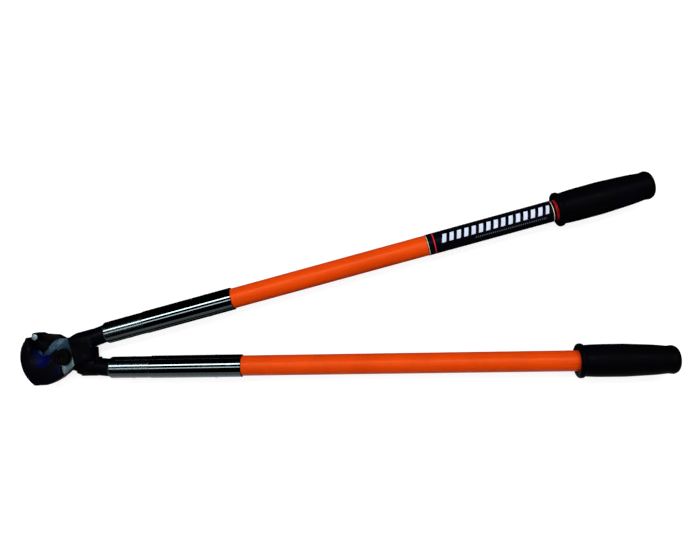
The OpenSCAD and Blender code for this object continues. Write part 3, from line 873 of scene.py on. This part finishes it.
def makeSocket(side):
    noseEnd = neckEnd + socketShape["noseLength"]
    outline = [
        (neckEnd, shankRadius), (noseEnd, shankRadius), (noseEnd, coreRadius), (step, coreRadius),
        (step, socketRadius), (noseEnd, socketRadius), (neckEnd, socketShape["noseRadius"]),
    ]
    shape = rounded(outline, socketShape["corners"], socketShape["cornerSteps"])
    piece = turnedPiece(side + "Socket", shape, socketMat)
    finishStretch(piece, neckEnd - spare, noseEnd - socketShape["shineFrom"], leverMat)
    place(piece, side, [side + "_socket"])


ferruleShape = {
    "gap": 0.06,            # to the socket before it
    # painted shade: this much of the ferrule's end takes the black lever finish as the shadow line where the
    # tube goes in
    "shadedLip": 0.45,
    "corners": {3: 0.2, 4: 0.6, 5: 0.55},
    "cornerSteps": 5,
}


def makeFerrule(side):
    outline = [
        (step, coreRadius), (tubeStart, coreRadius), (tubeStart, boreRadius),
        (ferruleEnd, boreRadius), (ferruleEnd, ferruleRadius), (step + ferruleShape["gap"], ferruleRadius),
    ]
    shape = rounded(outline, ferruleShape["corners"], ferruleShape["cornerSteps"])
    piece = turnedPiece(side + "Ferrule", shape, ferruleMat)
    # Painted shade: black finish on the ferrule's end for the shadow line at the tube
    finishStretch(piece, ferruleEnd - ferruleShape["shadedLip"], ferruleEnd + spare, leverMat)
    place(piece, side, [side + "_ferrule"])


tubeShape = {"corners": {2: 0.3, 4: 0.3}}


def makeTube(side):
    outline = [(tubeStart, tubeBore), (tubeEnd, tubeBore), (tubeEnd, tubeRadius), (wrapEnd, tubeRadius),
               (tubeStart, tubeRadius)]
    piece = turnedPiece(side + "Tube", rounded(outline, tubeShape["corners"]), orangeMat)
    if side == "upper":
        # Painted shade: the stretch between the wrap and the grip takes the darker red
        finishStretch(piece, wrapEnd, tubeEnd + spare, shadedRedMat)
    place(piece, side, [side + "_tube"])


pinShape = {
    "radius": 2.5,
    "proud": 0.12,          # of the steel round it
    "corners": {1: 0.5, 2: 0.5},
}


def makeCrossPin(side, label, along, bodyRadius, node):
    tip = bodyRadius + pinShape["proud"]
    outline = [(-tip, 0), (-tip, pinShape["radius"]), (tip, pinShape["radius"]), (tip, 0)]
    piece = turnedPiece(side + label, rounded(outline, pinShape["corners"]), metal["brightPin"],
                        meshing["pinSegments"], centre=0)
    turn = Matrix.Translation((along * mm, tool["axisOffset"] * mm, 0)) @ Matrix.Rotation(pi / 2, 4, "Z")
    piece.data.transform(turn)
    place(piece, side, [node])


wrapShape = {"corners": {2: 0.12, 3: 0.12}, "cornerSteps": 3}


def makeWrap():
    outline = [(wrapStart, wrapInner), (wrapEnd, wrapInner), (wrapEnd, wrapOuter), (wrapStart, wrapOuter)]
    shape = rounded(outline, wrapShape["corners"], wrapShape["cornerSteps"])
    piece = turnedPiece("handleWrap", shape, makeWrapFilm(wrapStart))
    place(piece, "upper", ["label_wrap"])


gripShape = {
    "barrel": 19.6,
    "waist": 16.5,
    "bead": 17.2,
    "mouth": (0.8, 2.6),        # countersink of the bore: from the grip's start, over the tube
    "mouthEnd": 1.4,
    "lip": 3.0,                 # rounding of the flange's front
    "flangeEnd": 3.8,
    "sweep": (3.4, 0.9),        # down from the flange: its length, and where it ends under the barrel
    "swell": ((13, 0.52), (20, 0.15), (32, 0), (56, 0)),        # from the start, under the barrel
    "taper": ((48, 0.6), (38, 1.05), (27, 1.65)),               # from the end, under the barrel
    "hollow": ((19, 0.75), (13, 0.1), (11.2, 0), (9.6, 0.15)),  # from the end, over the waist
    "dome": (7.2, 5.4),         # length of the domed end and how far it closes
    "steps": (10, 8, 12),       # points round the lip, the sweep and the dome
}


def quarterTurn(steps):
    return [radians(90 * k / steps) for k in range(steps + 1)]


def gripOutline():
    barrel, waist, bead = gripShape["barrel"], gripShape["waist"], gripShape["bead"]
    mouth, mouthWide = gripShape["mouth"]
    lip, flangeEnd = gripShape["lip"], gripStart + gripShape["flangeEnd"]
    sweep, under = gripShape["sweep"]
    dip = barrel - under
    dome, close = gripShape["dome"]
    lipArc, sweepArc, domeArc = [quarterTurn(count) for count in gripShape["steps"]]
    points = [(gripStart + gripShape["mouthEnd"], boreRadius), (gripStart + mouth, tubeRadius + mouthWide)]
    points += [(gripStart + lip - lip * cos(a), flangeRadius - lip + lip * sin(a)) for a in lipArc]
    points += [(flangeEnd + sweep * sin(a), dip + (flangeRadius - dip) * cos(a)) for a in sweepArc]
    points += [(gripStart + along, barrel - less) for along, less in gripShape["swell"]]
    points += [(gripEnd - along, barrel - less) for along, less in gripShape["taper"]]
    points += [(gripEnd - along, waist + more) for along, more in gripShape["hollow"]]
    points += [(gripEnd - dome + dome * sin(a), bead - close * (1 - cos(a))) for a in domeArc[1:]]
    return points + [(gripEnd, 0), (plugEnd, 0), (plugEnd, boreRadius)]


def makeGrip(side):
    piece = turnedPiece(side + "Grip", gripOutline(), rubberMat)
    place(piece, side, [side + "_grip"])


for side in ("upper", "lower"):
    makeSocket(side)
    makeFerrule(side)
    makeTube(side)
    makeGrip(side)
    makeCrossPin(side, "ShankPin", shankPinAt, socketRadius, side + "_shank_pin")
    makeCrossPin(side, "FerrulePin", ferrulePinAt, ferruleRadius, side + "_ferrule_pin")
makeWrap()
print("handles ready")


lever = {"bevel": 1.1, "bevelSteps": 3}


def makeLever(side):
    piece = bevelledCopy(side + "Lever", side + "_lever", side, leverMat, lever["bevel"], lever["bevelSteps"])
    place(piece, side, [side + "_lever"])


jaw = {
    "bevel": 0.45,
    "facetDepth": 0.4,          # the facet lies this far under the hook's top
    "sloping": (0.3, 0.95),     # upward part of a ground bevel's normal, from and to
    "planeOff": 0.1,            # a face this near a plane, and turned this nearly with it, is on it
    "planeTurn": 0.985,
    "facetOff": 0.05,
    "facetUp": 0.98,
    "hollowUp": (0.8, 0.9999),
    "hollowUnder": 0.1,         # below the facet, mm
    "hollowMargin": 0.8,
    "wallUp": 0.1,
    "wallFacing": (0.5, 0.3),   # X and Y of the notch wall's normal are more than these
    "wallLength": 12,
}


# The widest sloping face of a jaw is the one its grinding left: a point on it, its normal and
# its end at the bottom of the notch
def groundPlane(mesh):
    flattest, steepest = jaw["sloping"]
    sloping = [p for p in mesh.polygons if flattest < abs(p.normal.z) < steepest]
    widest = max(sloping, key=lambda p: p.area)
    leftmost = min((mesh.vertices[i].co for i in widest.vertices), key=lambda v: v.x)
    return widest.center / mm, widest.normal.copy(), leftmost / mm


def onPlane(spot, normal, polygon):
    off = (polygon.center / mm - spot).dot(normal)
    return abs(off) < jaw["planeOff"] and polygon.normal.dot(normal) > jaw["planeTurn"]


def makeHook():
    piece = bevelledCopy("hookJaw", "hook_jaw", "upper", jawSteelMat, jaw["bevel"])
    mesh = piece.data
    spot, normal, apex = groundPlane(mesh)
    seat = max(vertex.co.z for vertex in mesh.vertices) / mm - jaw["facetDepth"]
    leastUp, mostUp = jaw["hollowUp"]
    hollow = [p for p in mesh.polygons if p.normal.z > leastUp and not onPlane(spot, normal, p)
              and p.center.z / mm < seat - jaw["hollowUnder"]]
    area = sum(p.area for p in hollow)
    centre = sum((p.center * p.area for p in hollow), Vector()) / area / mm
    radius = max((p.center / mm - centre).length for p in hollow) + jaw["hollowMargin"]
    for material in (
            makeGroundSteel("hookBevel", bevelGrind, (Vector((0, 0, seat)), Vector((0, 0, 1)))),
            makeGroundSteel("groundFacet", facetGrind, (spot, normal)),
            makeHollowBlue("groundHollow", centre, radius, apex, hollowBlue["dishReach"]),
            makeHollowBlue("notchWall", centre, radius, apex, hollowBlue["wallReach"])):
        mesh.materials.append(material)
    facingX, facingY = jaw["wallFacing"]
    for p in mesh.polygons:
        here = p.center / mm
        if onPlane(spot, normal, p):
            p.material_index = 1
        elif p.normal.z > jaw["facetUp"] and abs(here.z - seat) < jaw["facetOff"]:
            p.material_index = 2
        elif leastUp < p.normal.z < mostUp and (here - centre).length < radius:
            p.material_index = 3
        elif (abs(p.normal.z) < jaw["wallUp"] and p.normal.x > facingX and p.normal.y > facingY
              and (here - apex).length < jaw["wallLength"]):
            p.material_index = 4
    place(piece, "upper", ["hook_jaw"])


def makeBlade():
    piece = bevelledCopy("bladeJaw", "blade_jaw", "lower", jawSteelMat, jaw["bevel"])
    mesh = piece.data
    spot, normal, _ = groundPlane(mesh)
    mesh.materials.append(makeGroundSteel("bladeBevel", bevelGrind))
    for p in mesh.polygons:
        p.material_index = 1 if onPlane(spot, normal, p) else 0
    place(piece, "lower", ["blade_jaw"])


for side in ("upper", "lower"):
    makeLever(side)
makeHook()
makeBlade()
print("levers and jaws ready")

# Node, half, metal, width of the broken edges in mm, and slot
smallParts = {
    "pivotBolt": ("pivot_bolt", "lower", "blackBolt", 0.45, "black_oxide_fastener"),
    "frontWasher": ("front_washer", "lower", "blackBolt", 0.2, "black_oxide_fastener"),
    "rearWasher": ("rear_washer", "lower", "zincWasher", 0.2, "zinc_washer"),
    "pivotNut": ("pivot_nut", "lower", "blackBolt", 0.3, "black_oxide_fastener"),
    "stopPin": ("stop_pin", "lower", "brightPin", 0.5, "bare_pin_steel"),
    "upperJawScrews": ("upper_jaw_screws", "upper", "blackBolt", 0.15, "black_oxide_fastener"),
    "lowerJawScrews": ("lower_jaw_screws", "lower", "blackBolt", 0.15, "black_oxide_fastener"),
}
endUp = 0.9     # a face that points up or down by more than this is an end of the stop pin

for pieceName, (node, side, metalName, width, slotName) in smallParts.items():
    piece = bevelledCopy(pieceName, node, side, metal[metalName], width)
    if pieceName == "stopPin":      # only its ends are polished
        piece.data.materials.append(jawSteelMat)
        for p in piece.data.polygons:
            p.material_index = 0 if abs(p.normal.z) > endUp else 1
    place(piece, side, [node])

# Pieces that the rest hides keep their construction solid with a finish of their own
hiddenFinish = {
    "pivot_bush": "bronzeBush",
    "upper_tube_core": "drawnTube", "lower_tube_core": "drawnTube",
    "upper_end_plug": "mouldedPlug", "lower_end_plug": "mouldedPlug",
}
for node, metalName in hiddenFinish.items():
    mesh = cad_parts[node].data
    mesh.materials.clear()
    mesh.materials.append(metal[metalName])
print("small parts ready")
